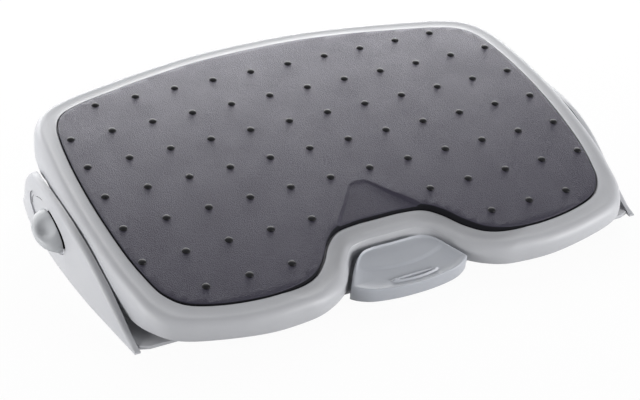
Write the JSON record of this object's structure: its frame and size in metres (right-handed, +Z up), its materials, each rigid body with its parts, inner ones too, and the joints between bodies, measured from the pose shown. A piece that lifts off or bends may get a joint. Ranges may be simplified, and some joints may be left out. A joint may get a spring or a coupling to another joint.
{
  "type": "footrest",
  "caption": "Tilting ergonomic footrest: studded mat on a grey shell with a foot pedal at its front notch, on a low base with side arms and slide knobs.",
  "frame": {"origin": "on the floor under the middle of the footrest's box, in the stored pose", "axes": "+Z up, -Y towards the user, +X to the user's right; the shaft runs along X"},
  "size_m": [0.5396, 0.3426, 0.0947],
  "materials": {
    "light_grey_plastic": "fine matt grain",
    "pedal_plastic": "satin",
    "knob_plastic": "satin",
    "mat_rubber": "leather grain",
    "foot_rubber": "matt",
    "brake_rubber": "matt",
    "white_nylon": "satin",
    "zinc_plated_steel": "zinc plated",
    "bright_steel": "ground",
    "spring_steel": "oiled"
  },
  "bodies": {
    "base": {"base_plate": "light_grey_plastic", "front_left_foot": "foot_rubber", "front_right_foot": "foot_rubber", "left_arm_screw_front": "zinc_plated_steel", "left_arm_screw_rear": "zinc_plated_steel", "left_guide_post": "white_nylon", "left_post_screw_front": "zinc_plated_steel", "left_post_screw_rear": "zinc_plated_steel", "left_side_arm": "light_grey_plastic", "rear_left_foot": "foot_rubber", "rear_right_foot": "foot_rubber", "right_arm_screw_front": "zinc_plated_steel", "right_arm_screw_rear": "zinc_plated_steel", "right_guide_post": "white_nylon", "right_post_screw_front": "zinc_plated_steel", "right_post_screw_rear": "zinc_plated_steel", "right_side_arm": "light_grey_plastic"},
    "carriage": {"brake_drum": "zinc_plated_steel", "drum_pin": "bright_steel", "left_lift_block": "white_nylon", "left_retaining_clip": "spring_steel", "right_lift_block": "white_nylon", "right_retaining_clip": "spring_steel", "tilt_shaft": "bright_steel"},
    "platform": {"left_bush": "white_nylon", "left_hanger": "zinc_plated_steel", "left_hanger_screw_front": "zinc_plated_steel", "left_hanger_screw_rear": "zinc_plated_steel", "left_pedal_bracket_screw": "zinc_plated_steel", "pedal_bracket": "zinc_plated_steel", "pedal_pin": "bright_steel", "platform_shell": "light_grey_plastic", "return_spring": "spring_steel", "right_bush": "white_nylon", "right_hanger": "zinc_plated_steel", "right_hanger_screw_front": "zinc_plated_steel", "right_hanger_screw_rear": "zinc_plated_steel", "right_pedal_bracket_screw": "zinc_plated_steel", "rubber_mat": "mat_rubber"},
    "pedal": {"brake_pad": "brake_rubber", "foot_pedal": "pedal_plastic", "left_pedal_screw": "zinc_plated_steel", "pedal_lever": "zinc_plated_steel", "right_pedal_screw": "zinc_plated_steel"},
    "left_slide": {"left_knob_screw": "zinc_plated_steel", "left_slide_knob": "knob_plastic", "left_wedge_slide": "white_nylon"},
    "right_slide": {"right_knob_screw": "zinc_plated_steel", "right_slide_knob": "knob_plastic", "right_wedge_slide": "white_nylon"}
  },
  "joints": [
    {"name": "height_slide", "type": "slide", "parent": "base", "child": "carriage", "axis": [0, 0, 1], "range_m": [0, 0.012]},
    {"name": "platform_tilt", "type": "hinge", "parent": "carriage", "child": "platform", "pos_m": [0, 0.02015, 0.036], "axis": [1, 0, 0], "range_deg": [-12.2, 0]},
    {"name": "pedal_press", "type": "hinge", "parent": "platform", "child": "pedal", "pos_m": [0, -0.10666, 0.02386], "axis": [1, 0, 0], "range_deg": [0, 2.4], "stiffness_Nm_per_rad": 20, "springref_deg": -2.86, "deforming": ["return_spring"]},
    {"name": "left_knob_slide", "type": "slide", "parent": "base", "child": "left_slide", "axis": [0, 1, 0], "range_m": [0, 0.036]},
    {"name": "right_knob_slide", "type": "slide", "parent": "base", "child": "right_slide", "axis": [0, 1, 0], "range_m": [0, 0.036]}
  ],
  "couplings": [
    {"joint": "left_knob_slide", "follows": "height_slide", "ratio": 3},
    {"joint": "right_knob_slide", "follows": "height_slide", "ratio": 3}
  ]
}
